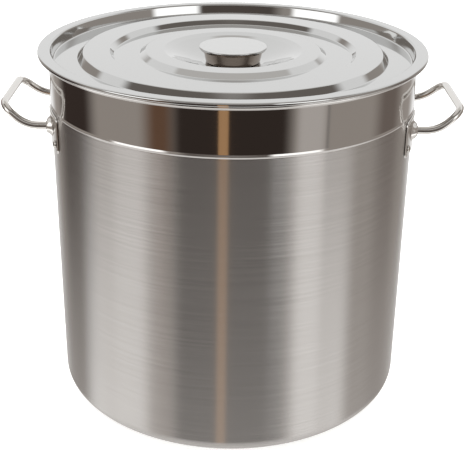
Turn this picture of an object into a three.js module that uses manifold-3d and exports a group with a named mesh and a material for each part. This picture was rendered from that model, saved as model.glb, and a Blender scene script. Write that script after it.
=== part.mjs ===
// Large stainless kettle with a drop-in lid: a drawn shell with a rolled rim, a bonded three-layer base,
// and two bent-rod side handles, each seated in the pressed bosses of a plate that is riveted to the wall.
// Millimetres, +Z up. The origin is on the standing face, on the kettle's axis; the handles point along X.

import * as THREE from 'three';
import { mergeVertices } from 'three/addons/utils/BufferGeometryUtils.js';
import Module from 'manifold-3d';

// Kettle shell
const KETTLE_RADIUS = 225;        // outside of the wall
const KETTLE_HEIGHT = 453;        // standing face to the top of the rolled rim
const WALL = 1.2;
const FLOOR_CORNER = 19;          // outside radius where the wall turns into the floor
const RIM_ROLL = 9;               // thickness of the rolled rim
const RIB_BELOW_RIM = 61.8;       // rim top to the middle of the rib round the wall
const RIB_HEIGHT = 4.4;
const RIB_PROUD = 0.9;

// Bonded base, under the shell's flat floor
const BASE_MARGIN = 6;            // edge of the flat floor to the outside of the steel cap
const BASE_BEVEL = 2;
const CAP_SHEET = 0.7;
const CORE_THICKNESS = 4.7;

// Side handles and their plates
const ROD = 9.6;                  // rod diameter
const LEG_SPACING = 129;          // between the two leg axes
const LEG_RUN = 24;               // wall to the first bend, along the leg axis
const LEG_LEAN = 6.5;             // how far each leg leans in on its way up to the grip
const GRIP_REACH = 51.5;          // wall to the grip's axis
const GRIP_RISE = 23;             // leg axes up to the grip's axis
const LOW_BEND = 17;              // length of each run that half of a bend takes up
const GRIP_BEND = 15;
const PLATE_SHEET = 1.9;
const PLATE_OVERHANG = 29;        // leg axis to the plate's end, straight across
const PLATE_ABOVE = 18;           // leg axes up to the plate's top edge
const PLATE_BELOW = 27.5;         // leg axes down to the plate's bottom edge
const PLATE_DIP = 8;              // how far the top edge dips between the bosses
const PLATE_CORNER = 6;
const BOSS_RIM = 3.7;             // width of the boss's face round the rod
const BOSS_FLARE = 4;             // how far the boss widens towards the plate
const BOSS_PROUD = 5;             // plate to the boss's face, on the leg axis
const RIVET = 5;                  // shank diameter
const RIVET_LEDGE = 2.3;          // how far the head stands out past the shank
const RIVET_DOME = 2.6;
const RIVET_TAIL = 1.2;           // thickness of the set head inside the kettle
const RIVET_FROM_END = 7.5;       // plate's end to the rivet's axis
const RIVET_FROM_BOTTOM = 11.2;   // plate's bottom edge to the rivet's axis

// Lid
const LID_SHEET = 1;
const LID_HEM = 4.5;              // how far the lid's turned edge hangs down
const LID_DEPTH = 13.5;           // flange's top face down to the gutter
const LID_LEAN = 3;               // how far the lid's inner wall leans in on its way down
const LID_BEND = 1.5;             // bevel at the flange's edges and at the foot of the wall
const GUTTER = 29;                // width of the flat ring inside the wall
const OUTER_RISE = 7;             // widths from here inwards, and drops below the flange
const OUTER_LAND = 32;
const OUTER_LAND_DROP = 5.5;
const STEP_WIDTH = 5;
const MIDDLE_LAND = 31;
const MIDDLE_LAND_DROP = 11.8;
const INNER_RISE = 8;
const INNER_LAND = 22;
const INNER_LAND_DROP = 6.1;
const DISH_DROP = 22;             // flange's top face down to the floor of the central dish
const DISH_LIP = 9;               // width of the first, gentler part of the dish

// Knob: a cup welded to the dish, with a cap crimped over its flange
const KNOB_RADIUS = 41.8;
const KNOB_HEIGHT = 19.8;         // dish floor to the top of the cap
const KNOB_LIP = 4.8;             // how far the cap stands out past the cup's neck
const KNOB_TAPER = 3.5;           // how much narrower the cup's foot is than its neck
const KNOB_SHEET = 0.8;
const CAP_EDGE = 4.4;             // height of the cap's crimped edge

// Clearances
const TOUCH = 0.3;                // between faces that rest on or are joined to each other
const LID_PLAY = 0.8;             // lid's wall to the inside of the kettle
const HEM_PLAY = 3.6;             // lid's turned edge to the outside of the rolled rim
const HOLE_PLAY = 0.3;            // round a rivet or a rod in its hole
const RIB_TO_PLATE = 2.8;         // plate's top edge up to the rib
const DISH_MARGIN = 4;            // flat dish floor beyond the knob's foot

// Facets
const ROUND = 56;                 // round the large turned pieces
const KNOB_ROUND = 36;
const SMALL_ROUND = 14;
const ROD_STEPS = 38;             // along a handle's rod

const wasm = await Module();
wasm.setup();

// ---- shapes -----------------------------------------------------------------------------------

// Points [radius, height] on a circular arc, angles in degrees.
function arc(radius, height, size, from, to, steps) {
  return Array.from({ length: steps + 1 }, (_, i) => {
    const angle = THREE.MathUtils.degToRad(from + ((to - from) * i) / steps);
    return [radius + size * Math.cos(angle), height + size * Math.sin(angle)];
  });
}

// A line of [radius, height] points set back square to itself by a distance, to the left of its direction.
function setBack(line, distance) {
  const normals = line.slice(1).map(([r, z], i) => {
    const run = new THREE.Vector2(r - line[i][0], z - line[i][1]).normalize();
    return new THREE.Vector2(-run.y, run.x);
  });
  return line.map(([r, z], i) => {
    const before = normals[Math.max(i - 1, 0)];
    const after = normals[Math.min(i, normals.length - 1)];
    const mitre = before.clone().add(after).normalize();
    const reach = distance / mitre.dot(after);
    return [Math.max(r + mitre.x * reach, 0), z + mitre.y * reach];
  });
}

// A solid turned round Z from a profile that runs anticlockwise: along the underside first, then back.
function turned(profile, facets) {
  const points = profile.map(([r, z]) => new THREE.Vector2(r, z));
  return new THREE.LatheGeometry(points, facets).rotateX(Math.PI / 2);
}

// A turned sheet: the line of its upper face from the edge to the axis, and the sheet's thickness below it.
function turnedSheet(upper, sheet, facets) {
  return turned([...setBack(upper, sheet).reverse(), ...upper], facets);
}

// The same from the line of its lower face, from the axis to the edge, with the thickness above it.
function turnedSheetBelow(lower, sheet, facets) {
  return turned([...lower, ...setBack(lower, sheet).reverse()], facets);
}

function bar(diameter, from, to, facets) {
  return new THREE.CylinderGeometry(diameter / 2, diameter / 2, to - from, facets)
    .rotateZ(-Math.PI / 2)
    .translate((from + to) / 2, 0, 0);
}

function solidOf(geometry) {
  const bare = geometry.clone();
  bare.deleteAttribute('normal');
  bare.deleteAttribute('uv');
  const merged = mergeVertices(bare, 1e-4);
  const corners = merged.index.array;
  const kept = [];
  for (let i = 0; i < corners.length; i += 3) {
    const [a, b, c] = corners.slice(i, i + 3);
    if (a !== b && b !== c && c !== a) kept.push(a, b, c);
  }
  return new wasm.Manifold(new wasm.Mesh({
    numProp: 3,
    vertProperties: merged.attributes.position.array,
    triVerts: new Uint32Array(kept),
  }));
}

function geometryOf(solid) {
  const { vertProperties, triVerts } = solid.getMesh();
  const geometry = new THREE.BufferGeometry();
  geometry.setAttribute('position', new THREE.BufferAttribute(vertProperties, 3));
  geometry.setIndex(new THREE.BufferAttribute(triVerts, 1));
  geometry.computeVertexNormals();
  return geometry;
}

function steel(color, roughness) {
  return new THREE.MeshStandardMaterial({ color, roughness, metalness: 1 });
}

function piece(name, geometry, material) {
  const mesh = new THREE.Mesh(geometry, material);
  mesh.name = name;
  return mesh;
}

// ---- levels and radii that several pieces share -----------------------------------------------

const floorLevel = CAP_SHEET + TOUCH + CORE_THICKNESS + TOUCH;
const mouthRadius = KETTLE_RADIUS - WALL;
const rimRadius = mouthRadius + RIM_ROLL;
const flangeLevel = KETTLE_HEIGHT + TOUCH + LID_SHEET;
const dishLevel = flangeLevel - DISH_DROP;
const baseRadius = KETTLE_RADIUS - FLOOR_CORNER - BASE_MARGIN;
const ribLevel = KETTLE_HEIGHT - RIB_BELOW_RIM;
const legLevel = ribLevel - RIB_HEIGHT / 2 - RIB_TO_PLATE - PLATE_ABOVE;
const plateInside = KETTLE_RADIUS + TOUCH;
const plateOutside = plateInside + PLATE_SHEET;
const plateHalf = LEG_SPACING / 2 + PLATE_OVERHANG;
const rivetLevel = legLevel - PLATE_BELOW + RIVET_FROM_BOTTOM;
const rivetAngle = Math.asin((plateHalf - RIVET_FROM_END) / plateOutside);
const rivetHead = RIVET / 2 + RIVET_LEDGE;
const bossRadius = ROD / 2 + BOSS_RIM;
const bossFoot = bossRadius + BOSS_FLARE;
const knobNeck = KNOB_RADIUS - KNOB_LIP;
const knobFoot = knobNeck - KNOB_TAPER;

// ---- shell and base ---------------------------------------------------------------------------

// The four rivet axes, as turns round Z: two on each side of the kettle.
const sideTurns = { right: 0, left: Math.PI };
const rivetTurns = Object.values(sideTurns).flatMap((turn) => [turn - rivetAngle, turn + rivetAngle]);

// What is drilled out for the rivet at one turn, through the wall and the plate.
function rivetHole(turn) {
  const reach = 4 * (WALL + PLATE_SHEET);
  const hole = bar(RIVET + 2 * HOLE_PLAY, mouthRadius - reach, plateOutside + reach, SMALL_ROUND);
  return solidOf(hole.rotateZ(turn).translate(0, 0, rivetLevel));
}

// The wall with its rolled rim, drawn in one with the floor, less the rivet holes.
function kettleShell() {
  const rollRadius = mouthRadius + RIM_ROLL / 2;
  const rollLevel = KETTLE_HEIGHT - RIM_ROLL / 2;
  const rollStart = THREE.MathUtils.radToDeg(Math.acos((KETTLE_RADIUS - rollRadius) / (RIM_ROLL / 2)));
  const corner = KETTLE_RADIUS - FLOOR_CORNER;
  const cornerLevel = floorLevel + FLOOR_CORNER;
  const profile = [
    [0, floorLevel],
    ...arc(corner, cornerLevel, FLOOR_CORNER, -90, 0, 4),
    [KETTLE_RADIUS, ribLevel - RIB_HEIGHT / 2],
    [KETTLE_RADIUS + RIB_PROUD, ribLevel],
    [KETTLE_RADIUS, ribLevel + RIB_HEIGHT / 2],
    ...arc(rollRadius, rollLevel, RIM_ROLL / 2, -rollStart, 180, 9),
    ...arc(corner, cornerLevel, FLOOR_CORNER - WALL, 0, -90, 3),
    [0, floorLevel + WALL],
  ];
  return rivetTurns.reduce(
    (shell, turn) => shell.subtract(rivetHole(turn)),
    solidOf(turned(profile, ROUND)),
  );
}

// The aluminium disc that spreads the heat, between the floor and the cap.
function baseCore() {
  const radius = baseRadius - CAP_SHEET - TOUCH;
  const bottom = CAP_SHEET + TOUCH;
  return turned([
    [0, bottom],
    [radius - BASE_BEVEL, bottom],
    [radius, bottom + BASE_BEVEL],
    [radius, bottom + CORE_THICKNESS],
    [0, bottom + CORE_THICKNESS],
  ], ROUND);
}

// The thin steel cap that wraps the disc and stands on the stove.
function baseCap() {
  return turnedSheetBelow([
    [0, 0],
    [baseRadius - BASE_BEVEL - CAP_SHEET / 2, 0],
    [baseRadius, BASE_BEVEL + CAP_SHEET / 2],
    [baseRadius, floorLevel - TOUCH],
  ], CAP_SHEET, ROUND);
}

// ---- handles ----------------------------------------------------------------------------------

// A path of straight runs joined by smooth bends. A bend takes up at most half of the run on either side.
function bentPath(corners, bends) {
  const path = new THREE.CurvePath();
  let from = corners[0];
  bends.forEach((bend, i) => {
    const corner = corners[i + 1];
    const into = corner.clone().sub(corners[i]);
    const out = corners[i + 2].clone().sub(corner);
    const length = Math.min(bend, into.length() / 2, out.length() / 2);
    const start = corner.clone().sub(into.setLength(length));
    const end = corner.clone().add(out.setLength(length));
    path.add(new THREE.LineCurve3(from, start));
    path.add(new THREE.QuadraticBezierCurve3(start, corner, end));
    from = end;
  });
  path.add(new THREE.LineCurve3(from, corners[corners.length - 1]));
  return path;
}

// One rod: out from the wall, up and inwards, along the grip, and back the same way.
function handleRod() {
  const half = LEG_SPACING / 2;
  const seat = Math.sqrt(plateInside ** 2 - (half - ROD / 2) ** 2) + TOUCH;
  const bend = KETTLE_RADIUS + LEG_RUN;
  const grip = KETTLE_RADIUS + GRIP_REACH;
  const corners = [
    new THREE.Vector3(seat, -half, legLevel),
    new THREE.Vector3(bend, -half, legLevel),
    new THREE.Vector3(grip, -half + LEG_LEAN, legLevel + GRIP_RISE),
    new THREE.Vector3(grip, half - LEG_LEAN, legLevel + GRIP_RISE),
    new THREE.Vector3(bend, half, legLevel),
    new THREE.Vector3(seat, half, legLevel),
  ];
  const section = new THREE.Shape();
  section.absarc(0, 0, ROD / 2, 0, 2 * Math.PI);
  return new THREE.ExtrudeGeometry(section, {
    extrudePath: bentPath(corners, [LOW_BEND, GRIP_BEND, GRIP_BEND, LOW_BEND]),
    steps: ROD_STEPS,
    curveSegments: 6,
  });
}

// The plate's outline seen from the side: straight across the bottom, with a shallow dip in the top edge.
function plateOutline() {
  const end = plateHalf - PLATE_CORNER;
  const top = legLevel + PLATE_ABOVE;
  const bottom = legLevel - PLATE_BELOW;
  const shoulder = LEG_SPACING / 2 - bossFoot;
  const outline = new THREE.Shape();
  outline.absarc(end, bottom + PLATE_CORNER, PLATE_CORNER, -Math.PI / 2, 0);
  outline.absarc(end, top - PLATE_CORNER, PLATE_CORNER, 0, Math.PI / 2);
  outline.lineTo(shoulder, top);
  outline.bezierCurveTo(shoulder / 2, top, shoulder / 2, top - PLATE_DIP, 0, top - PLATE_DIP);
  outline.bezierCurveTo(-shoulder / 2, top - PLATE_DIP, -shoulder / 2, top, -shoulder, top);
  outline.absarc(-end, top - PLATE_CORNER, PLATE_CORNER, Math.PI / 2, Math.PI);
  outline.absarc(-end, bottom + PLATE_CORNER, PLATE_CORNER, Math.PI, 1.5 * Math.PI);
  return outline;
}

// A stamped plate bent to the wall, with two raised bosses that take the rod's ends, and its rivet holes.
function handlePlate() {
  const legs = [-LEG_SPACING / 2, LEG_SPACING / 2];
  const blank = new THREE.ExtrudeGeometry(plateOutline(), {
    depth: plateOutside,
    bevelEnabled: false,
    curveSegments: 5,
  }).rotateX(Math.PI / 2).rotateZ(Math.PI / 2);
  const round = (radius) => solidOf(
    new THREE.CylinderGeometry(radius, radius, 2 * KETTLE_HEIGHT, ROUND).rotateX(Math.PI / 2),
  );
  const seat = Math.sqrt(plateOutside ** 2 - (LEG_SPACING / 2) ** 2);
  const inner = Math.sqrt(plateInside ** 2 - (LEG_SPACING / 2 + bossFoot) ** 2);
  const flare = new THREE.CylinderGeometry(bossRadius, bossFoot, BOSS_PROUD, SMALL_ROUND)
    .rotateZ(-Math.PI / 2)
    .translate(seat + BOSS_PROUD / 2, 0, legLevel);
  const root = bar(2 * bossFoot, inner, seat, SMALL_ROUND).translate(0, 0, legLevel);
  const boss = solidOf(flare).add(solidOf(root));
  const socket = solidOf(
    bar(ROD + 2 * HOLE_PLAY, inner, seat + 2 * BOSS_PROUD, SMALL_ROUND).translate(0, 0, legLevel),
  );
  let plate = solidOf(blank).intersect(round(plateOutside));
  for (const y of legs) plate = plate.add(boss.translate([0, y, 0]));
  plate = plate.subtract(round(plateInside));
  for (const y of legs) plate = plate.subtract(socket.translate([0, y, 0]));
  for (const turn of [-rivetAngle, rivetAngle]) plate = plate.subtract(rivetHole(turn));
  return plate;
}

// A rivet along Z: domed head outside the plate, shank through plate and wall, set head inside.
function rivetShape() {
  const flatOfFacet = mouthRadius * Math.cos(Math.PI / ROUND);
  const inside = flatOfFacet - TOUCH - rivetHead ** 2 / (2 * mouthRadius);
  const outside = plateOutside + TOUCH;
  const dome = arc(0, outside, 1, 0, 90, 4).map(([r, z]) => [r * rivetHead, outside + (z - outside) * RIVET_DOME]);
  return turned([
    [0, inside - RIVET_TAIL],
    [rivetHead - RIVET_TAIL / 2, inside - RIVET_TAIL],
    [rivetHead, inside],
    [RIVET / 2, inside],
    [RIVET / 2, outside],
    ...dome,
  ], SMALL_ROUND);
}

// ---- lid and knob -----------------------------------------------------------------------------

// The line of the lid's upper face, from the edge of its hem to the middle of the central dish.
function lidLine() {
  const hem = rimRadius + HEM_PLAY + LID_SHEET;
  const wallTop = mouthRadius - LID_PLAY - LID_SHEET;
  const line = [
    [hem, flangeLevel - LID_HEM],
    [hem, flangeLevel - LID_BEND],
    [hem - LID_BEND, flangeLevel],
    [wallTop + LID_BEND, flangeLevel],
    [wallTop, flangeLevel - LID_BEND],
    [wallTop - LID_LEAN, flangeLevel - LID_DEPTH + LID_BEND],
    [wallTop - LID_LEAN - LID_BEND, flangeLevel - LID_DEPTH],
  ];
  let radius = wallTop - LID_LEAN;
  const inwards = (width, drop) => {
    radius -= width;
    line.push([radius, flangeLevel - drop]);
  };
  inwards(GUTTER, LID_DEPTH);
  inwards(OUTER_RISE, OUTER_LAND_DROP);
  inwards(OUTER_LAND, OUTER_LAND_DROP);
  inwards(STEP_WIDTH, MIDDLE_LAND_DROP);
  inwards(MIDDLE_LAND, MIDDLE_LAND_DROP);
  inwards(INNER_RISE, INNER_LAND_DROP);
  inwards(INNER_LAND, INNER_LAND_DROP);
  const floor = knobFoot + DISH_MARGIN;
  const lip = Math.min(DISH_LIP, (radius - floor) / 3);
  line.push(
    [radius - lip, flangeLevel - INNER_LAND_DROP - (DISH_DROP - INNER_LAND_DROP) * 0.15],
    [(radius - lip) * 0.4 + floor * 0.6, dishLevel + (DISH_DROP - INNER_LAND_DROP) * 0.3],
    [floor, dishLevel],
    [0, dishLevel],
  );
  return line;
}

// The cup: a flat foot on the dish, a wall that widens upwards, and a flange under the cap.
function knobCup() {
  const foot = dishLevel + TOUCH;
  const top = dishLevel + KNOB_HEIGHT - KNOB_SHEET - TOUCH;
  const flange = KNOB_RADIUS - KNOB_SHEET - TOUCH;
  return turned([
    [0, foot],
    [knobFoot - 2, foot],
    [knobFoot, foot + 2],
    [knobNeck, top - 3],
    [knobNeck + 1, top - KNOB_SHEET],
    [flange, top - KNOB_SHEET],
    [flange, top],
    [knobNeck, top],
    [knobNeck - KNOB_SHEET, top - 3],
    [knobFoot - KNOB_SHEET, foot + 2],
    [knobFoot - KNOB_SHEET - 1.5, foot + KNOB_SHEET],
    [0, foot + KNOB_SHEET],
  ], KNOB_ROUND);
}

// The cap: a flat disc with a rounded edge that is folded in under the cup's flange.
function knobCap() {
  const top = dishLevel + KNOB_HEIGHT;
  const fold = knobNeck + 1 + TOUCH;
  const foldTop = top - 2 * KNOB_SHEET - 2 * TOUCH;
  return turned([
    [0, top - KNOB_SHEET],
    [KNOB_RADIUS - KNOB_SHEET, top - KNOB_SHEET],
    [KNOB_RADIUS - KNOB_SHEET, foldTop],
    [fold + 1, foldTop],
    [fold + 1, foldTop - KNOB_SHEET],
    [KNOB_RADIUS - 1, top - CAP_EDGE + 1],
    [KNOB_RADIUS, top - CAP_EDGE / 2],
    [KNOB_RADIUS - 1.2, top - 0.4],
    [KNOB_RADIUS - 3, top],
    [0, top],
  ], KNOB_ROUND);
}

// ---- the kettle put together ------------------------------------------------------------------

const kettle = new THREE.Group();
kettle.add(
  piece('kettle_shell', geometryOf(kettleShell()), steel(0xb8b4b0, 0.3)),
  piece('base_core', baseCore(), steel(0xc4c6c8, 0.5)),
  piece('base_cap', baseCap(), steel(0xb4b2af, 0.35)),
);

const rod = handleRod();
const plate = geometryOf(handlePlate());
const rivet = rivetShape();
for (const [side, turn] of Object.entries(sideTurns)) {
  const mount = new THREE.Group();
  mount.rotation.z = turn;
  mount.add(
    piece(`handle_${side}`, rod, steel(0xd2d2d0, 0.12)),
    piece(`handle_plate_${side}`, plate, steel(0xc6c4c1, 0.2)),
  );
  for (const angle of [-rivetAngle, rivetAngle]) {
    const end = Math.sin(turn + angle) < 0 ? 'front' : 'back';
    const fastener = piece(`rivet_${side}_${end}`, rivet, steel(0xd0cecb, 0.2));
    fastener.rotation.set(0, Math.PI / 2, angle, 'ZYX');
    fastener.position.z = rivetLevel;
    mount.add(fastener);
  }
  kettle.add(mount);
}

kettle.add(
  piece('lid', turnedSheet(lidLine(), LID_SHEET, ROUND), steel(0xd8d8d6, 0.15)),
  piece('knob_cup', knobCup(), steel(0xbdb8b2, 0.15)),
  piece('knob_cap', knobCap(), steel(0xdcdcda, 0.18)),
);

export default kettle;
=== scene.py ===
import math

import bpy
import numpy as np
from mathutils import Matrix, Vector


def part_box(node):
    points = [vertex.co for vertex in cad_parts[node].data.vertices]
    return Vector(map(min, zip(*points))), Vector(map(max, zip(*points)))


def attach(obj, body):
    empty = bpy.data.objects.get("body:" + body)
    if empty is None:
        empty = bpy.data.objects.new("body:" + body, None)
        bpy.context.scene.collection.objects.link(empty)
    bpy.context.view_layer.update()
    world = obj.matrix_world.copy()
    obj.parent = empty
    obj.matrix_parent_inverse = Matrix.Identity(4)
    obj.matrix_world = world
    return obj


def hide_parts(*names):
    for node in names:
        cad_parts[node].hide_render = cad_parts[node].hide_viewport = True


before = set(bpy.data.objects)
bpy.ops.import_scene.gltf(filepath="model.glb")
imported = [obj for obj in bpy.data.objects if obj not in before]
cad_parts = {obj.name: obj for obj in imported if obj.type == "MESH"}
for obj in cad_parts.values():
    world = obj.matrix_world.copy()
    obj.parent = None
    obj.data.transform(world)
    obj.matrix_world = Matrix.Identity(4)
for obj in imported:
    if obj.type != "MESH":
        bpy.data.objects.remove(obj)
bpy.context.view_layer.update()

# Kettle shell: stainless sheet deep-drawn into a pot, with the rim rolled outwards and a small rib pressed
# round it. The wall is belt-brushed round the kettle up to the rib. The rib, the band above it and the roll
# are buffed to a mirror, and the inside keeps an even satin.
WALL = 1.2               # sheet thickness; these lengths are in millimetres
RIM_ROLL = 9
FLOOR_CORNER = 19
RIB_BELOW_RIM = 61.8
RIB_HEIGHT = 4.4
RIB_PROUD = 0.9
BUFFED_BELOW_RIB = 0.6
BRUSHED_STEEL = "CBC8C5"
BRUSHED_SHADE = "BCB9B6"
MIRROR_STEEL = "CDCAC7"
SATIN_STEEL = "C4C1BD"
GRAIN = 1.8              # 180-grit lines are about 0.2 mm apart, too fine to show, so they are drawn wider
GRAIN_LENGTH = 120
FACETS = 256             # round the large turned pieces


def box_mm(cad_node):
    low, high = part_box(cad_node)
    return low * 1000, high * 1000


def rounded(corners):
    """Points (r, z) along straight runs between corners. A corner given as (r, z, radius) becomes an arc."""
    points = []
    for i, corner in enumerate(corners):
        here = np.array(corner[:2], float)
        if len(corner) < 3:
            points.append(here)
            continue
        back = np.array(corners[i - 1][:2]) - here
        ahead = np.array(corners[i + 1][:2]) - here
        back_length, ahead_length = np.linalg.norm(back), np.linalg.norm(ahead)
        back, ahead = back / back_length, ahead / ahead_length
        half = math.acos(np.clip(back @ ahead, -1, 1)) / 2
        reach = min(corner[2] / math.tan(half), 0.49 * back_length, 0.49 * ahead_length)
        start, end = here + back * reach, here + ahead * reach
        towards = (back + ahead) / np.linalg.norm(back + ahead)
        centre = here + towards * reach / math.cos(half)
        turn = math.pi - 2 * half
        steps = max(2, math.ceil(turn / math.radians(9)))
        for k in range(steps + 1):
            before, after = math.sin((1 - k / steps) * turn), math.sin(k / steps * turn)
            points.append(centre + ((start - centre) * before + (end - centre) * after) / math.sin(turn))
    return points


def arc(r, z, radius, start, end, steps):
    """Points (r, z) on a circular arc, with its angles in degrees."""
    angles = np.radians(np.linspace(start, end, steps + 1))
    return [np.array((r + radius * math.cos(a), z + radius * math.sin(a))) for a in angles]


def turned(name, runs, facets=FACETS):
    """A closed mesh turned round Z. Runs are (material, points (r, z) in mm) that follow each other
    anticlockwise, the underside first. Normals come from the outline itself, so flats reflect as flats."""
    points, finish = [], []
    for index, (_, run) in enumerate(runs):
        for point in run:
            if points and np.linalg.norm(point - points[-1]) < 1e-6:
                continue
            if points:
                finish.append(index)
            points.append(np.array(point, float))
    closed = points[0][0] > 1e-6
    if closed:
        finish.append(len(runs) - 1)
    count = len(points)
    ends = [points[(i + 1) % count] for i in range(len(finish))]
    along = [end - start for start, end in zip(points, ends)]
    lengths = [np.linalg.norm(step) for step in along]
    square = [np.array((step[1], -step[0])) / length for step, length in zip(along, lengths)]

    def between(a, b):
        """The normal at the corner of two runs: shared where the corner is smooth."""
        if square[a] @ square[b] < math.cos(math.radians(35)):
            return None
        shared = square[a] * lengths[a] ** 2 + square[b] * lengths[b] ** 2
        return shared / np.linalg.norm(shared)

    starts, stops = list(square), list(square)
    for i in range(len(square) if closed else len(square) - 1):
        after = (i + 1) % len(square)
        shared = between(i, after)
        if shared is not None:
            stops[i] = starts[after] = shared
    turns = 2 * math.pi * np.arange(facets) / facets
    verts, rings = [], []
    for r, z in points:
        if r < 1e-6:
            rings.append([len(verts)] * facets)
            verts.append((0, 0, z / 1000))
        else:
            rings.append(list(range(len(verts), len(verts) + facets)))
            verts += [(r * math.cos(t) / 1000, r * math.sin(t) / 1000, z / 1000) for t in turns]
    faces, normals, slots = [], [], []
    for i in range(len(square)):
        low, high = rings[i], rings[(i + 1) % count]
        for j in range(facets):
            k = (j + 1) % facets
            corners = [
                (low[j], starts[i], j),
                (low[k], starts[i], k),
                (high[k], stops[i], k),
                (high[j], stops[i], j),
            ]
            if low[j] == low[k]:
                corners = corners[:1] + corners[2:]
            if high[j] == high[k]:
                corners = corners[:3]
            faces.append([corner[0] for corner in corners])
            normals += [(n[0] * math.cos(turns[t]), n[0] * math.sin(turns[t]), n[1]) for _, n, t in corners]
            slots.append(finish[i])
    mesh = bpy.data.meshes.new(name)
    mesh.from_pydata(verts, [], faces)
    for material, _ in runs:
        mesh.materials.append(material)
    mesh.polygons.foreach_set("material_index", slots)
    mesh.polygons.foreach_set("use_smooth", [True] * len(faces))
    mesh.normals_split_custom_set(normals)
    piece = bpy.data.objects.new(name, mesh)
    bpy.context.scene.collection.objects.link(piece)
    return piece


def rgb(colour):
    """An sRGB hex colour as the linear RGBA that a shader takes."""
    parts = [int(colour[i:i + 2], 16) / 255 for i in (0, 2, 4)]
    return [c / 12.92 if c <= 0.04045 else ((c + 0.055) / 1.055) ** 2.4 for c in parts] + [1]


def add(tree, kind, inputs=None, **settings):
    """Adds one node. Settings are its own properties, and inputs are its sockets' values or links."""
    node = tree.nodes.new(kind)
    for name, value in settings.items():
        setattr(node, name, value)
    for name, value in (inputs or {}).items():
        if isinstance(value, bpy.types.NodeSocket):
            tree.links.new(value, node.inputs[name])
        else:
            node.inputs[name].default_value = value
    return node


def new_material(name):
    material = bpy.data.materials.new(name)
    material.use_nodes = True
    material.node_tree.nodes.clear()
    return material, material.node_tree


# Belt-brushed stainless: fine lines run round the wall, so reflections smear up and down it into soft
# upright bands, and the lines catch the light unevenly.
brushed_stainless, tree = new_material("brushed_stainless")
place = add(tree, "ShaderNodeTexCoord").outputs["Object"]
lines = add(tree, "ShaderNodeMapping", {
    "Vector": place,
    "Scale": (1000 / GRAIN_LENGTH, 1000 / GRAIN_LENGTH, 1000 / GRAIN),
}).outputs[0]
grain = add(tree, "ShaderNodeTexNoise", {
    "Vector": lines,
    "Scale": 1,
    "Detail": 2,
    "Roughness": 0.5,
}).outputs[0]
cloud = add(tree, "ShaderNodeTexNoise", {"Vector": place, "Scale": 7, "Detail": 2}).outputs[0]
colour = add(tree, "ShaderNodeMix", {"Factor": grain, "A": rgb(BRUSHED_SHADE), "B": rgb(BRUSHED_STEEL)},
             data_type="RGBA")
uneven = add(tree, "ShaderNodeMath", {0: cloud, 1: 0.03, 2: 0.21}, operation="MULTIPLY_ADD").outputs[0]
rough = add(tree, "ShaderNodeMath", {0: grain, 1: 0.04, 2: uneven}, operation="MULTIPLY_ADD").outputs[0]
bump = add(tree, "ShaderNodeBump", {"Height": grain, "Strength": 0.1, "Distance": 0.0001})
steel = add(tree, "ShaderNodeBsdfPrincipled", {
    "Base Color": colour.outputs["Result"],
    "Metallic": 1,
    "Roughness": rough,
    "Anisotropic": 1,
    "Anisotropic Rotation": 0.25,
    "Normal": bump.outputs[0],
})
add(tree, "ShaderNodeOutputMaterial", {"Surface": steel.outputs[0]})

# Mirror-buffed stainless: clear reflections, with the faint waves of thin drawn sheet and a little haze
# left by the buffing wheel.
mirror_stainless, tree = new_material("mirror_buffed_stainless")
place = add(tree, "ShaderNodeTexCoord").outputs["Object"]
waves = add(tree, "ShaderNodeTexNoise", {"Vector": place, "Scale": 14, "Detail": 1}).outputs[0]
lines = add(tree, "ShaderNodeMapping", {"Vector": place, "Scale": (20, 20, 500)}).outputs[0]
haze = add(tree, "ShaderNodeTexNoise", {"Vector": lines, "Scale": 1, "Detail": 2}).outputs[0]
rough = add(tree, "ShaderNodeMath", {0: haze, 1: 0.05, 2: 0.05}, operation="MULTIPLY_ADD").outputs[0]
bump = add(tree, "ShaderNodeBump", {"Height": waves, "Strength": 0.2, "Distance": 0.0005})
steel = add(tree, "ShaderNodeBsdfPrincipled", {
    "Base Color": rgb(MIRROR_STEEL),
    "Metallic": 1,
    "Roughness": rough,
    "Normal": bump.outputs[0],
})
add(tree, "ShaderNodeOutputMaterial", {"Surface": steel.outputs[0]})

# Satin stainless inside: a fine even blast that holds no clear reflection.
satin_stainless, tree = new_material("satin_stainless")
place = add(tree, "ShaderNodeTexCoord").outputs["Object"]
lines = add(tree, "ShaderNodeMapping", {"Vector": place, "Scale": (10, 10, 500)}).outputs[0]
grain = add(tree, "ShaderNodeTexNoise", {"Vector": lines, "Scale": 1, "Detail": 2}).outputs[0]
rough = add(tree, "ShaderNodeMath", {0: grain, 1: 0.1, 2: 0.33}, operation="MULTIPLY_ADD").outputs[0]
steel = add(tree, "ShaderNodeBsdfPrincipled", {
    "Base Color": rgb(SATIN_STEEL),
    "Metallic": 1,
    "Roughness": rough,
    "Anisotropic": 0.4,
    "Anisotropic Rotation": 0.25,
})
add(tree, "ShaderNodeOutputMaterial", {"Surface": steel.outputs[0]})

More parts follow.
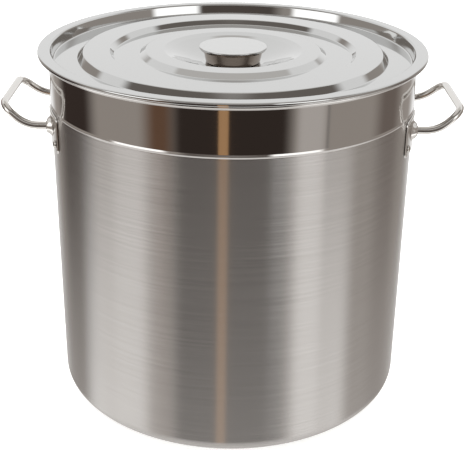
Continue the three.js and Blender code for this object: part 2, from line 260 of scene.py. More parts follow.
low, high = box_mm("kettle_shell")
floor_level, rim_top = low.z, high.z
mouth_radius = high.x - RIM_ROLL
wall_radius = mouth_radius + WALL
rib_level = rim_top - RIB_BELOW_RIM
rib_low, rib_high = rib_level - RIB_HEIGHT / 2, rib_level + RIB_HEIGHT / 2
roll = RIM_ROLL / 2
roll_start = math.degrees(math.acos((wall_radius - mouth_radius - roll) / roll))
roll_outside = arc(mouth_radius + roll, rim_top - roll, roll, -roll_start, 180, 28)
shell = turned("kettle_shell_drawn", [
    (brushed_stainless, rounded([
        (0, floor_level),
        (wall_radius, floor_level, FLOOR_CORNER),
        (wall_radius, rib_low - BUFFED_BELOW_RIB),
    ])),
    (mirror_stainless, rounded([
        (wall_radius, rib_low - BUFFED_BELOW_RIB),
        (wall_radius, rib_low, 1),
        (wall_radius + RIB_PROUD, rib_level, 1.2),
        (wall_radius, rib_high, 1),
        roll_outside[0],
    ]) + roll_outside),
    (satin_stainless, rounded([
        roll_outside[-1],
        (mouth_radius, floor_level + WALL, FLOOR_CORNER - WALL),
        (0, floor_level + WALL),
    ])),
])
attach(shell, "kettle")
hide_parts("kettle_shell")


# Bonded base: a disc of aluminium that spreads the heat, brazed under the flat floor, and the thin steel
# cap that wraps it and stands on the stove.
CAP_SHEET = 0.7
CAP_BEVEL = 2.35
ALUMINIUM = "D2D3D4"

# Rolled aluminium: the cut edge of the disc, dull and slightly grainy. Only its rim could show, in the
# narrow gap over the cap.
rolled_aluminium, tree = new_material("rolled_aluminium")
place = add(tree, "ShaderNodeTexCoord").outputs["Object"]
pores = add(tree, "ShaderNodeTexNoise", {"Vector": place, "Scale": 900, "Detail": 3}).outputs[0]
rough = add(tree, "ShaderNodeMath", {0: pores, 1: 0.2, 2: 0.4}, operation="MULTIPLY_ADD").outputs[0]
bump = add(tree, "ShaderNodeBump", {"Height": pores, "Strength": 0.3, "Distance": 0.0002})
metal = add(tree, "ShaderNodeBsdfPrincipled", {
    "Base Color": rgb(ALUMINIUM),
    "Metallic": 1,
    "Roughness": rough,
    "Normal": bump.outputs[0],
})
add(tree, "ShaderNodeOutputMaterial", {"Surface": metal.outputs[0]})
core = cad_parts["base_core"]
core.data.materials.clear()
core.data.materials.append(rolled_aluminium)

# Spun stainless: the underside of the cap is turned on a lathe, which leaves fine rings round the middle.
spun_stainless, tree = new_material("spun_stainless")
place = add(tree, "ShaderNodeTexCoord").outputs["Object"]
flat = add(tree, "ShaderNodeMapping", {"Vector": place, "Scale": (1, 1, 0)}).outputs[0]
radius = add(tree, "ShaderNodeVectorMath", {0: flat}, operation="LENGTH").outputs["Value"]
rings = add(tree, "ShaderNodeTexNoise", {"W": radius, "Scale": 700, "Detail": 2},
            noise_dimensions="1D").outputs[0]
rough = add(tree, "ShaderNodeMath", {0: rings, 1: 0.12, 2: 0.2}, operation="MULTIPLY_ADD").outputs[0]
bump = add(tree, "ShaderNodeBump", {"Height": rings, "Strength": 0.3, "Distance": 0.0001})
steel = add(tree, "ShaderNodeBsdfPrincipled", {
    "Base Color": rgb(SATIN_STEEL),
    "Metallic": 1,
    "Roughness": rough,
    "Anisotropic": 0.6,
    "Anisotropic Rotation": 0.25,
    "Normal": bump.outputs[0],
})
add(tree, "ShaderNodeOutputMaterial", {"Surface": steel.outputs[0]})

low, high = box_mm("base_cap")
base_cap = turned("base_cap_pressed", [(spun_stainless, rounded([
    (0, low.z),
    (high.x, low.z, CAP_BEVEL),
    (high.x, high.z),
    (high.x - CAP_SHEET, high.z),
    (high.x - CAP_SHEET, low.z + CAP_SHEET, CAP_BEVEL - CAP_SHEET),
    (0, low.z + CAP_SHEET),
]))], 128)
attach(base_cap, "kettle")
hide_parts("base_cap")


# Handle plates: one stainless blank each side, stamped with two raised bosses that hold the rod's ends
# and curved to the wall. The top edge dips between the bosses. The press leaves every edge a little round.
PLATE_CORNER = 6
PLATE_DIP = 8
PLATE_EDGE = 1.5
PLATE_GAP = 0.3
BOSS_RADIUS = 8.5
BOSS_FLARE = 4
BOSS_ABOVE_PLATE = 5
ROD_DIAMETER = 9.6
WELD_GROOVE = 0.5
WELD_WIDTH = 1.2
PLATE_STEEL = "D6D3CF"

# Bright-pressed stainless: polished after stamping, so it is glossy, with soft scuffs and fine waves.
pressed_stainless, tree = new_material("bright_pressed_stainless")
place = add(tree, "ShaderNodeTexCoord").outputs["Object"]
waves = add(tree, "ShaderNodeTexNoise", {"Vector": place, "Scale": 60, "Detail": 2}).outputs[0]
scuffs = add(tree, "ShaderNodeTexNoise", {"Vector": place, "Scale": 350, "Detail": 3}).outputs[0]
rough = add(tree, "ShaderNodeMath", {0: scuffs, 1: 0.12, 2: 0.08}, operation="MULTIPLY_ADD").outputs[0]
bump = add(tree, "ShaderNodeBump", {"Height": waves, "Strength": 0.2, "Distance": 0.0003})
steel = add(tree, "ShaderNodeBsdfPrincipled", {
    "Base Color": rgb(PLATE_STEEL),
    "Metallic": 1,
    "Roughness": rough,
    "Normal": bump.outputs[0],
})
add(tree, "ShaderNodeOutputMaterial", {"Surface": steel.outputs[0]})


def smooth(t):
    t = np.clip(t, 0, 1)
    return t * t * (3 - 2 * t)


def spaced(stops):
    """Numbers along stops (value, spacing up to the next value), ending on the last value."""
    numbers = []
    for (start, spacing), (end, _) in zip(stops, stops[1:]):
        numbers += list(np.linspace(start, end, max(1, round((end - start) / spacing)), endpoint=False))
    return numbers + [stops[-1][0]]


def handle_plate(name, side):
    """A curved plate with bosses, as a grid over its outline: front face, back face and the edge between."""
    low, high = box_mm("handle_plate_right")
    rod_low, rod_high = box_mm("handle_right")
    half, front = high.y, high.x
    back = wall_radius + PLATE_GAP
    leg, leg_level = rod_high.y - ROD_DIAMETER / 2, rod_low.z + ROD_DIAMETER / 2
    foot = BOSS_RADIUS + BOSS_FLARE
    face = math.sqrt(front ** 2 - leg ** 2) + BOSS_ABOVE_PLATE
    # The grid is finest round the bosses and at the plate's ends and edges.
    near = [(0, 2), (leg - foot - 1, 0.6), (leg + foot + 1, 1), (half - 2, 0.25), (half, 0)]
    columns = np.array([-y for y in spaced(near)[:0:-1]] + spaced(near))
    across = spaced([(0, 0.012), (0.05, 0.04), (0.2, 0.014), (0.88, 0.04), (0.95, 0.012), (1, 0)])
    reach = np.maximum(np.abs(columns) - (half - PLATE_CORNER), 0)
    round_off = PLATE_CORNER - np.sqrt(np.maximum(PLATE_CORNER ** 2 - reach ** 2, 0))
    dip = PLATE_DIP * (1 - smooth(np.abs(columns) / (leg - foot)))
    bottom, top = low.z + round_off, high.z - round_off - dip
    y = np.repeat(columns, len(across))
    share = np.tile(across, len(columns))
    z = np.repeat(bottom, len(across)) * (1 - share) + np.repeat(top, len(across)) * share
    lift = np.repeat(dip, len(across)) * share
    middle, tall = (low.z + high.z) / 2, (high.z - low.z) / 2
    out_y = np.maximum(np.abs(y) - (half - PLATE_CORNER), 0)
    out_z = np.maximum(np.abs(z + lift - middle) - (tall - PLATE_CORNER), 0)
    inner = np.minimum(np.maximum(np.abs(y) - half, np.abs(z + lift - middle) - tall) + PLATE_CORNER, 0)
    to_edge = PLATE_CORNER - np.hypot(out_y, out_z) - inner
    over = np.clip(PLATE_EDGE - to_edge, 0, PLATE_EDGE)
    sheet = np.sqrt(front ** 2 - y ** 2)
    from_leg = np.hypot(np.abs(y) - leg, z - leg_level)
    rise = 1 - smooth((from_leg - BOSS_RADIUS + 1) / (BOSS_FLARE + 2))
    groove = WELD_GROOVE * (1 - smooth((from_leg - ROD_DIAMETER / 2) / WELD_WIDTH))
    round_edge = PLATE_EDGE - np.sqrt(PLATE_EDGE ** 2 - over ** 2)
    x = sheet + np.maximum(face - sheet, 0) * rise - groove - round_edge
    inside = np.sqrt(back ** 2 - y ** 2)
    outer = np.stack([x, y, z], 1)
    behind = np.stack([inside, y, z], 1)
    verts = np.concatenate([outer, behind]) * (side, side, 1) / 1000
    rows, count = len(across), len(outer)
    faces = []
    for i in range(len(columns) - 1):
        for j in range(rows - 1):
            a, b, c, d = i * rows + j, (i + 1) * rows + j, (i + 1) * rows + j + 1, i * rows + j + 1
            faces += [(a, b, c, d), (count + d, count + c, count + b, count + a)]
    ring = [i * rows for i in range(len(columns))]
    ring += [(len(columns) - 1) * rows + j for j in range(1, rows)]
    ring += [i * rows + rows - 1 for i in range(len(columns) - 2, -1, -1)]
    ring += [j for j in range(rows - 2, 0, -1)]
    for a, b in zip(ring, ring[1:] + ring[:1]):
        faces.append((b, a, count + a, count + b))
    mesh = bpy.data.meshes.new(name)
    mesh.from_pydata(verts.tolist(), [], faces)
    mesh.materials.append(pressed_stainless)
    mesh.polygons.foreach_set("use_smooth", [True] * len(faces))
    mesh.set_sharp_from_angle(angle=math.radians(40))
    piece = bpy.data.objects.new(name, mesh)
    bpy.context.scene.collection.objects.link(piece)
    return piece


for side, name in ((1, "right"), (-1, "left")):
    plate = handle_plate(f"handle_plate_{name}_stamped", side)
    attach(plate, "kettle")
    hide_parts(f"handle_plate_{name}")


# Handle rods: round stainless bar cold-bent into a loop, its ends set into the plate's bosses and welded,
# then barrel-polished bright.
LEG_RUN = 24
LEG_LEAN = 6.5
LOW_BEND = 42            # bend radii at the rod's axis
GRIP_BEND = 19
ROD_STEEL = "DEDBD7"

# Polished bar: a clean bright gloss with very fine drawing lines along the rod.
polished_bar, tree = new_material("polished_stainless_bar")
place = add(tree, "ShaderNodeTexCoord").outputs["Object"]
lines = add(tree, "ShaderNodeMapping", {"Vector": place, "Scale": (300, 60, 300)}).outputs[0]
drawn = add(tree, "ShaderNodeTexNoise", {"Vector": lines, "Scale": 1, "Detail": 2}).outputs[0]
rough = add(tree, "ShaderNodeMath", {0: drawn, 1: 0.08, 2: 0.08}, operation="MULTIPLY_ADD").outputs[0]
steel = add(tree, "ShaderNodeBsdfPrincipled", {
    "Base Color": rgb(ROD_STEEL),
    "Metallic": 1,
    "Roughness": rough,
})
add(tree, "ShaderNodeOutputMaterial", {"Surface": steel.outputs[0]})


def geometry_tree(name, sizes):
    """A node group that takes a mesh and named sizes and gives geometry."""
    group = bpy.data.node_groups.new(name, "GeometryNodeTree")
    group.interface.new_socket("Geometry", in_out="OUTPUT", socket_type="NodeSocketGeometry")
    group.interface.new_socket("Geometry", in_out="INPUT", socket_type="NodeSocketGeometry")
    for size, kind in sizes.items():
        group.interface.new_socket(size, in_out="INPUT", socket_type=kind)
    return group, add(group, "NodeGroupInput").outputs


def grown(name, mesh, group, sizes):
    """The result of a node group on a mesh, as a plain mesh object at the origin."""
    start = bpy.data.objects.new(name + "_start", mesh)
    bpy.context.scene.collection.objects.link(start)
    modifier = start.modifiers.new(name, "NODES")
    modifier.node_group = group
    inputs = [item for item in group.interface.items_tree if item.in_out == "INPUT"]
    identifiers = {item.name: item.identifier for item in inputs}
    for size, value in sizes.items():
        modifier[identifiers[size]] = value
    grid = bpy.context.evaluated_depsgraph_get()
    made = bpy.data.meshes.new_from_object(start.evaluated_get(grid))
    bpy.data.objects.remove(start)
    made.name = name
    piece = bpy.data.objects.new(name, made)
    bpy.context.scene.collection.objects.link(piece)
    return piece


rod_tree, sizes = geometry_tree("bent_rod", {
    "Rod Radius": "NodeSocketFloat",
    "Low Bend": "NodeSocketFloat",
    "Grip Bend": "NodeSocketFloat",
    "Material": "NodeSocketMaterial",
})
path = add(rod_tree, "GeometryNodeMeshToCurve", {"Mesh": sizes["Geometry"]}).outputs[0]
index = add(rod_tree, "GeometryNodeInputIndex").outputs[0]
# The route's corners are numbered 0 to 5, so its middle is 2.5 and the low bends are more than 1 from it.
from_middle = add(rod_tree, "ShaderNodeMath", {0: index, 1: 2.5}, operation="SUBTRACT").outputs[0]
distance = add(rod_tree, "ShaderNodeMath", {0: from_middle}, operation="ABSOLUTE").outputs[0]
low_corner = add(rod_tree, "ShaderNodeMath", {0: distance, 1: 1}, operation="GREATER_THAN").outputs[0]
bend = add(rod_tree, "GeometryNodeSwitch", {
    "Switch": low_corner,
    "False": sizes["Grip Bend"],
    "True": sizes["Low Bend"],
}, input_type="FLOAT").outputs[0]
bent = add(rod_tree, "GeometryNodeFilletCurve", {
    "Curve": path,
    "Count": 14,
    "Radius": bend,
    "Limit Radius": True,
}, mode="POLY").outputs[0]
section = add(rod_tree, "GeometryNodeCurvePrimitiveCircle", {"Resolution": 28, "Radius": sizes["Rod Radius"]})
bar = add(rod_tree, "GeometryNodeCurveToMesh", {
    "Curve": bent,
    "Profile Curve": section.outputs[0],
    "Fill Caps": True,
}).outputs[0]
round_bar = add(rod_tree, "GeometryNodeSetShadeSmooth", {0: bar}).outputs[0]
real = add(rod_tree, "GeometryNodeRealizeInstances", {"Geometry": round_bar}).outputs[0]
done = add(rod_tree, "GeometryNodeSetMaterial", {"Geometry": real, "Material": sizes["Material"]}).outputs[0]
add(rod_tree, "NodeGroupOutput", {"Geometry": done})

low, high = box_mm("handle_right")
half, level = high.y - ROD_DIAMETER / 2, low.z + ROD_DIAMETER / 2
grip, grip_level = high.x - ROD_DIAMETER / 2, high.z - ROD_DIAMETER / 2
corners = [
    (low.x, -half, level),
    (wall_radius + LEG_RUN, -half, level),
    (grip, -half + LEG_LEAN, grip_level),
    (grip, half - LEG_LEAN, grip_level),
    (wall_radius + LEG_RUN, half, level),
    (low.x, half, level),
]
for side, name in ((1, "right"), (-1, "left")):
    route = bpy.data.meshes.new("rod_route")
    route.from_pydata(
        [(side * x / 1000, side * y / 1000, z / 1000) for x, y, z in corners],
        [(i, i + 1) for i in range(len(corners) - 1)],
        [],
    )
    rod = grown(f"handle_{name}_bent_rod", route, rod_tree, {
        "Rod Radius": ROD_DIAMETER / 2000,
        "Low Bend": LOW_BEND / 1000,
        "Grip Bend": GRIP_BEND / 1000,
        "Material": polished_bar,
    })
    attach(rod, "kettle")
    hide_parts(f"handle_{name}")


# Rivets: four solid stainless rivets, two to a plate near its lower corners. Each is driven from outside
# through plate and wall, with a domed head outside and a flat set head inside.
RIVET_DOME = 2.6
RIVET_RADIUS = 2.5
RIVET_HEAD = 4.8
RIVET_TAIL = 1.2
RIVET_EDGE = 0.6
RIVET_GAP = 0.3          # between a head and the sheet under it
TAIL_CLEAR = 0.35
RIVET_STEEL = "D0CCC7"

# Upset stainless: the die leaves the head bright, with a faint dimpled skin.
upset_stainless, tree = new_material("upset_stainless")
place = add(tree, "ShaderNodeTexCoord").outputs["Object"]
skin = add(tree, "ShaderNodeTexNoise", {"Vector": place, "Scale": 900, "Detail": 2}).outputs[0]
rough = add(tree, "ShaderNodeMath", {0: skin, 1: 0.1, 2: 0.1}, operation="MULTIPLY_ADD").outputs[0]
bump = add(tree, "ShaderNodeBump", {"Height": skin, "Strength": 0.15, "Distance": 0.0002})
steel = add(tree, "ShaderNodeBsdfPrincipled", {
    "Base Color": rgb(RIVET_STEEL),
    "Metallic": 1,
    "Roughness": rough,
    "Normal": bump.outputs[0],
})
add(tree, "ShaderNodeOutputMaterial", {"Surface": steel.outputs[0]})

rivet_tree, sizes = geometry_tree("rivets_on_the_wall", {
    "Rivet": "NodeSocketObject",
    "Material": "NodeSocketMaterial",
})
spot = add(rivet_tree, "GeometryNodeInputPosition").outputs[0]
outwards = add(rivet_tree, "ShaderNodeVectorMath", {0: spot, 1: (1, 1, 0)}, operation="MULTIPLY").outputs[0]
facing = add(rivet_tree, "FunctionNodeAlignRotationToVector", {"Vector": outwards}, axis="Z").outputs[0]
rivet = add(rivet_tree, "GeometryNodeObjectInfo", {"Object": sizes["Rivet"]}).outputs["Geometry"]
placed = add(rivet_tree, "GeometryNodeInstanceOnPoints", {
    "Points": sizes["Geometry"],
    "Instance": rivet,
    "Rotation": facing,
}).outputs[0]
real = add(rivet_tree, "GeometryNodeRealizeInstances", {"Geometry": placed}).outputs[0]
done = add(rivet_tree, "GeometryNodeSetMaterial", {
    "Geometry": real,
    "Material": sizes["Material"],
}).outputs[0]
add(rivet_tree, "NodeGroupOutput", {"Geometry": done})

rivet_nodes = [f"rivet_{side}_{end}" for side in ("right", "left") for end in ("front", "back")]
seats = []
for rivet_node in rivet_nodes:
    low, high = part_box(rivet_node)
    middle = (low + high) / 2
    turn = math.atan2(middle.y, middle.x)
    seats.append((mouth_radius * math.cos(turn) / 1000, mouth_radius * math.sin(turn) / 1000, middle.z))
under_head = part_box("handle_plate_right")[1].x * 1000 + RIVET_GAP - mouth_radius
inside_set = -RIVET_GAP - RIVET_HEAD ** 2 / (2 * mouth_radius) - TAIL_CLEAR
dome = [
    (RIVET_HEAD * math.cos(a), under_head + RIVET_DOME * math.sin(a))
    for a in np.radians(np.linspace(0, 90, 11))
]
dome[-1] = (0, under_head + RIVET_DOME)
single = turned("rivet_single", [(upset_stainless, [np.array(p, float) for p in [
    (0, inside_set - RIVET_TAIL),
    (RIVET_HEAD - RIVET_EDGE, inside_set - RIVET_TAIL),
    (RIVET_HEAD, inside_set - RIVET_EDGE),
    (RIVET_HEAD, inside_set),
    (RIVET_RADIUS, inside_set),
    (RIVET_RADIUS, under_head),
    *dome,
]])], 32)
spots = bpy.data.meshes.new("rivet_seats")
spots.from_pydata(seats, [], [])
rivets = grown("rivets_driven", spots, rivet_tree, {"Rivet": single, "Material": upset_stainless})
bpy.data.objects.remove(single)
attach(rivets, "kettle")
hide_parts(*rivet_nodes)


# Lid: one stainless disc pressed into rings that stiffen it, with a hemmed flange that sits on the rim
# and a wall that drops inside the mouth. Its middle is dished, which sinks the knob into the lid.
LID_SHEET = 1
LID_HEM = 4.5
HEM_TURN = 2.6           # how far the curled edge comes back in under the flange
LID_DEPTH = 13.5
WALL_TOP = 222
WALL_FOOT = 219
OUTER_RING = (190, 183, 151, 146)    # radii where a ring's outer and inner slopes start and end
INNER_RING = (115, 107, 85, 76)
OUTER_BELOW = 5.5        # how far the flats lie below the flange
VALLEY_BELOW = 11.8
INNER_BELOW = 6.1
DISH_LIP_BELOW = 8.5
DISH_SLOPE = 52.9        # radius where the dish turns steeper, and its height there over the dish's floor
DISH_SLOPE_RISE = 4.8
DISH_FLOOR = 37.5
LID_STEEL = "C9C9C8"

# Bright-rolled stainless: pressed from polished sheet and buffed while it turns, which leaves faint rings
# and a sheen that fans out from the middle.
lid_stainless, tree = new_material("bright_rolled_stainless")
place = add(tree, "ShaderNodeTexCoord").outputs["Object"]
flat = add(tree, "ShaderNodeMapping", {"Vector": place, "Scale": (1, 1, 0)}).outputs[0]
radius = add(tree, "ShaderNodeVectorMath", {0: flat}, operation="LENGTH").outputs["Value"]
rings = add(tree, "ShaderNodeTexNoise", {"W": radius, "Scale": 500, "Detail": 2},
            noise_dimensions="1D").outputs[0]
waves = add(tree, "ShaderNodeTexNoise", {"Vector": place, "Scale": 12, "Detail": 1}).outputs[0]
rough = add(tree, "ShaderNodeMath", {0: rings, 1: 0.05, 2: 0.03}, operation="MULTIPLY_ADD").outputs[0]
bump = add(tree, "ShaderNodeBump", {"Height": waves, "Strength": 0.2, "Distance": 0.0005})
steel = add(tree, "ShaderNodeBsdfPrincipled", {
    "Base Color": rgb(LID_STEEL),
    "Metallic": 1,
    "Roughness": rough,
    "Anisotropic": 0.5,
    "Anisotropic Rotation": 0.25,
    "Normal": bump.outputs[0],
})
add(tree, "ShaderNodeOutputMaterial", {"Surface": steel.outputs[0]})


def set_back(points, distance):
    """A line of (r, z) set back square to itself, to the left of its direction."""
    steps = [after - before for before, after in zip(points, points[1:])]
    sides = [np.array((-step[1], step[0])) / np.linalg.norm(step) for step in steps]
    moved = []
    for point, before, after in zip(points, [sides[0]] + sides, sides + [sides[-1]]):
        mitre = (before + after) / np.linalg.norm(before + after)
        moved.append(point + mitre * distance / (mitre @ after))
        moved[-1][0] = max(moved[-1][0], 0)
    return moved


low, high = box_mm("lid")
hem, flange = high.x, high.z
dish = low.z + LID_SHEET
gutter = flange - LID_DEPTH
lid_top = rounded([
    (hem - HEM_TURN, flange - LID_HEM),
    (hem, flange - LID_HEM, 2.2),
    (hem, flange, 2.2),
    (WALL_TOP, flange, 3),
    (WALL_FOOT, gutter, 2),
    (OUTER_RING[0], gutter, 2),
    (OUTER_RING[1], flange - OUTER_BELOW, 2.2),
    (OUTER_RING[2], flange - OUTER_BELOW, 1.8),
    (OUTER_RING[3], flange - VALLEY_BELOW, 1.8),
    (INNER_RING[0], flange - VALLEY_BELOW, 3),
    (INNER_RING[1], flange - INNER_BELOW, 3),
    (INNER_RING[2], flange - INNER_BELOW, 8),
    (INNER_RING[3], flange - DISH_LIP_BELOW, 10),
    (DISH_SLOPE, dish + DISH_SLOPE_RISE, 12),
    (DISH_FLOOR, dish, 10),
    (0, dish),
])
lid = turned("lid_pressed", [(lid_stainless, set_back(lid_top, LID_SHEET)[::-1] + lid_top)])
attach(lid, "lid")
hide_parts("lid")


# Knob: a drawn cup welded to the dish, and a cap crimped over the cup's flange.
KNOB_SHEET = 0.8
CAP_EDGE = 4.4
CAP_TUCK = 1.8           # how far the cap's edge leans in towards its fold
CAP_FOLD = 2.3           # how far the fold stands out from the cup's neck
FOLD_GAP = 0.6
NECK_IN = 4.8            # how much smaller in radius the neck and the foot are than the cap
FOOT_IN = 8.3
KNOB_STEEL = "D2D2D1"
# painted shade: the darker, faintly brown grey of the knob's cup and the cap's turned-in edge stands for
# shade and a dark reflection under the cap
SHADED_KNOB_STEEL = "A2978E"

# Soft-buffed stainless: an even bright sheen with soft-edged reflections and no visible lines.
knob_stainless, tree = new_material("soft_buffed_stainless")
place = add(tree, "ShaderNodeTexCoord").outputs["Object"]
mottle = add(tree, "ShaderNodeTexNoise", {"Vector": place, "Scale": 250, "Detail": 2}).outputs[0]
rough = add(tree, "ShaderNodeMath", {0: mottle, 1: 0.06, 2: 0.13}, operation="MULTIPLY_ADD").outputs[0]
steel = add(tree, "ShaderNodeBsdfPrincipled", {
    "Base Color": rgb(KNOB_STEEL),
    "Metallic": 1,
    "Roughness": rough,
})
add(tree, "ShaderNodeOutputMaterial", {"Surface": steel.outputs[0]})

# Shaded knob stainless: the cup and the cap's turned-in edge are painted a darker, faintly brown grey. This
# is painted shade and a painted reflection, standing for the shade under the cap and the dark room that the
# steel there reflects.
shaded_knob_stainless, tree = new_material("knob_stainless_painted_shade")
place = add(tree, "ShaderNodeTexCoord").outputs["Object"]
lines = add(tree, "ShaderNodeMapping", {"Vector": place, "Scale": (60, 60, 400)}).outputs[0]
drawn = add(tree, "ShaderNodeTexNoise", {"Vector": lines, "Scale": 1, "Detail": 2}).outputs[0]
rough = add(tree, "ShaderNodeMath", {0: drawn, 1: 0.1, 2: 0.14}, operation="MULTIPLY_ADD").outputs[0]
steel = add(tree, "ShaderNodeBsdfPrincipled", {
    "Base Color": rgb(SHADED_KNOB_STEEL),
    "Metallic": 1,
    "Roughness": rough,
})
add(tree, "ShaderNodeOutputMaterial", {"Surface": steel.outputs[0]})

cup_low, cup_high = box_mm("knob_cup")
_, cap_high = box_mm("knob_cap")
knob_radius, cap_top = cap_high.x, cap_high.z
neck, foot_radius = knob_radius - NECK_IN, knob_radius - FOOT_IN
flange_radius, cup_top, cup_foot = cup_high.x, cup_high.z, cup_low.z
# The cup is painted darker and brown-grey, as painted shade and a painted reflection under the cap.
cup = turned("knob_cup_drawn", [(shaded_knob_stainless, rounded([
    (0, cup_foot),
    (foot_radius, cup_foot, 2.5),
    (neck, cup_top - KNOB_SHEET, 1.2),
    (flange_radius, cup_top - KNOB_SHEET),
    (flange_radius, cup_top),
    (neck - KNOB_SHEET, cup_top, 0.4),
    (foot_radius - KNOB_SHEET, cup_foot + KNOB_SHEET, 1.7),
    (0, cup_foot + KNOB_SHEET),
]))], 128)
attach(cup, "lid")
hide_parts("knob_cup")

fold = neck + CAP_FOLD
fold_top = cap_top - 2 * KNOB_SHEET - FOLD_GAP
edge_level = cap_top - CAP_EDGE / 2
cap = turned("knob_cap_crimped", [
    # The cap's turned-in underside is painted darker, as painted shade under its edge.
    (shaded_knob_stainless, rounded([
        (0, cap_top - KNOB_SHEET),
        (knob_radius - KNOB_SHEET, cap_top - KNOB_SHEET),
        (knob_radius - KNOB_SHEET, fold_top),
        (fold, fold_top),
        (fold, cap_top - CAP_EDGE, 0.3),
        (knob_radius - CAP_TUCK, cap_top - CAP_EDGE, 1),
        (knob_radius, edge_level),
    ])),
    (knob_stainless, rounded([
        (knob_radius, edge_level),
        (knob_radius, cap_top, 2),
        (0, cap_top),
    ])),
], 128)
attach(cap, "lid")
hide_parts("knob_cap")


# Studio: the camera, a plain pale floor, a soft light from above, and the room that the steel reflects.
CAMERA_PLACE = (0.0028, -1.2265, 0.7735)
CAMERA_TILT = 24.7       # degrees down from level
CAMERA_ROLL = 0.77
FOCAL_LENGTH = 78.5
FLOOR_COLOUR = "F7F7F6"
FLOOR_GLOW = 0.75        # lifts the paper almost to white
FLOOR_REACH = 8
FLOOR_DROP = 0.0005      # keeps the floor just clear of the standing face
LAMP_SIZE = 4
LAMP_HEIGHT = 3
LAMP_POWER = 160

tilt, twist = math.radians(CAMERA_TILT), math.radians(CAMERA_ROLL)
camera = bpy.data.objects.new("camera", bpy.data.cameras.new("camera"))
camera.data.lens = FOCAL_LENGTH
camera.data.sensor_width = 36
camera.data.sensor_fit = "HORIZONTAL"
camera.data.clip_end = 50
camera.location = CAMERA_PLACE
camera.rotation_euler = (math.pi / 2 - tilt, 0, 0)
camera.rotation_euler.rotate_axis("Z", twist)
bpy.context.scene.collection.objects.link(camera)
bpy.context.scene.camera = camera

floor_mesh = bpy.data.meshes.new("floor")
floor_corners = [(FLOOR_REACH * x, FLOOR_REACH * y, 0) for x, y in ((-1, -1), (1, -1), (1, 1), (-1, 1))]
floor_mesh.from_pydata(floor_corners, [], [(0, 1, 2, 3)])
floor = bpy.data.objects.new("floor", floor_mesh)
bpy.context.scene.collection.objects.link(floor)
floor.location.z = -FLOOR_DROP
floor.visible_glossy = False
paper, tree = new_material("floor_paper")
sheet = add(tree, "ShaderNodeBsdfPrincipled", {
    "Base Color": rgb(FLOOR_COLOUR),
    "Roughness": 0.9,
    "Specular IOR Level": 0.1,
    "Emission Color": rgb(FLOOR_COLOUR),
    "Emission Strength": FLOOR_GLOW,
})
add(tree, "ShaderNodeOutputMaterial", {"Surface": sheet.outputs[0]})
floor.data.materials.append(paper)

lamp_data = bpy.data.lights.new("overhead_softbox", "AREA")
lamp_data.shape = "SQUARE"
lamp_data.size = LAMP_SIZE
lamp_data.energy = LAMP_POWER
lamp = bpy.data.objects.new("overhead_softbox", lamp_data)
lamp.location = (0, 0, LAMP_HEIGHT)
lamp.visible_glossy = False
bpy.context.scene.collection.objects.link(lamp)

# What the steel reflects, since neither the floor nor the lamp shows in it: a pale room with a dark doorway
# behind the camera and a wooden post in it, a cupboard, a screen and two curtains beside it, a tall softbox
# and a low fill lamp on each side, a pale ceiling with a dark beam, and a white sweep behind the kettle. Each
# thing has its bearing from the camera's side (left is negative), half its width, how soft its sides are, its
# lowest and highest elevation, all in degrees, then its colour and its light. A later one covers an earlier.
ROOM_WALLS = "A8A19B"
ROOM = [
    (0, 180, 1, 22, 90, "FFFFFF", 1),          # light upper walls
    (-113, 18, 16, -90, 0, "3E3531", 1),       # dark curtain on the left
    (112, 12, 16, -90, 0, "7A706A", 1),        # grey curtain on the right
    (-44, 9, 14, -90, -3, "6E5443", 1),        # low wooden cupboard
    (49, 9, 8, -90, -3, "C6C1BD", 1),          # pale screen and its upright
    (60, 1, 1.5, -90, -3, "8E8986", 1),
    (0, 180, 1, -90, -24, "CDC8C4", 1),        # pale lower walls
    (-84, 28, 14, -90, -24, "FFFFFF", 1.6),    # low fill lamps
    (64, 21, 12, -90, -24, "FFFFFF", 1.65),
    (0, 30, 12, 0, 27, "5C544F", 1),           # the doorway, darker towards the floor
    (0, 36, 12, -90, -3, "39312D", 1),
    (-5, 3, 0.6, -90, -6, "BC946C", 1),        # wooden post
    (180, 32, 16, -90, 90, "FFFFFF", 1),       # white sweep
    (-58, 17, 6, -5, 42, "FFFFFF", 1.8),       # softboxes
    (40, 16, 6, -5, 42, "FFFFFF", 1.8),
    (0, 180, 1, 50, 90, "D8D5D2", 1),          # ceiling, with a dark beam over the camera
    (0, 100, 10, 32, 68, "77716C", 1),
    (0, 180, 1, -90, -38, "F4F2F0", 1),        # pale floor
]
HEIGHT_SOFT = 5          # degrees over which a thing fades at its lowest and highest elevation
world = bpy.data.worlds.new("studio")
bpy.context.scene.world = world
world.use_nodes = True
tree = world.node_tree
tree.nodes.clear()
direction = add(tree, "ShaderNodeTexCoord").outputs["Generated"]
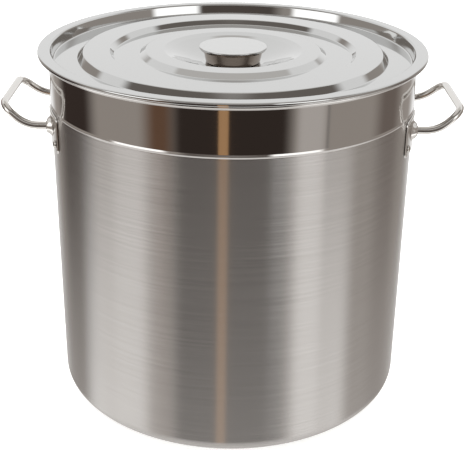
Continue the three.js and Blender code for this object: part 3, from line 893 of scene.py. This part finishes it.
level = add(tree, "ShaderNodeVectorMath", {0: direction, 1: (1, 1, 0)}, operation="MULTIPLY").outputs[0]
bearing = add(tree, "ShaderNodeVectorMath", {0: level}, operation="NORMALIZE").outputs[0]
height = add(tree, "ShaderNodeSeparateXYZ", {0: direction}).outputs["Z"]
elevation = add(tree, "ShaderNodeMath", {0: height}, operation="ARCSINE").outputs[0]


def fade(value, full, none):
    """1 where a value in radians is at full or past it, 0 at none, both in degrees, and smooth between."""
    return add(tree, "ShaderNodeMapRange", {
        "Value": value,
        "From Min": math.radians(none),
        "From Max": math.radians(full),
    }, interpolation_type="SMOOTHSTEP").outputs[0]


room = rgb(ROOM_WALLS)
for middle, half_width, soft, lowest, highest, colour, light in ROOM:
    turn = math.radians(middle)
    facing = (math.sin(turn), -math.cos(turn), 0)
    nearness = add(tree, "ShaderNodeVectorMath", {0: bearing, 1: facing},
                   operation="DOT_PRODUCT").outputs["Value"]
    off = add(tree, "ShaderNodeMath", {0: nearness}, operation="ARCCOSINE").outputs[0]
    share = fade(off, half_width - soft / 2, half_width + soft / 2) if half_width < 180 else 1
    if lowest > -90:
        share = add(tree, "ShaderNodeMath", {0: share, 1: fade(elevation, lowest + HEIGHT_SOFT, lowest)},
                    operation="MULTIPLY").outputs[0]
    if highest < 90:
        share = add(tree, "ShaderNodeMath", {0: share, 1: fade(elevation, highest - HEIGHT_SOFT, highest)},
                    operation="MULTIPLY").outputs[0]
    shade = [part * light for part in rgb(colour)[:3]] + [1]
    room = add(tree, "ShaderNodeMix", {"Factor": share, "A": room, "B": shade},
               data_type="RGBA").outputs["Result"]
seen = add(tree, "ShaderNodeLightPath").outputs["Is Camera Ray"]
shown = add(tree, "ShaderNodeMix", {"Factor": seen, "A": room, "B": (1, 1, 1, 1)},
            data_type="RGBA").outputs["Result"]
backdrop = add(tree, "ShaderNodeBackground", {"Color": shown, "Strength": 1.0})
add(tree, "ShaderNodeOutputWorld", {"Surface": backdrop.outputs[0]})
bpy.context.scene.view_settings.view_transform = "Standard"
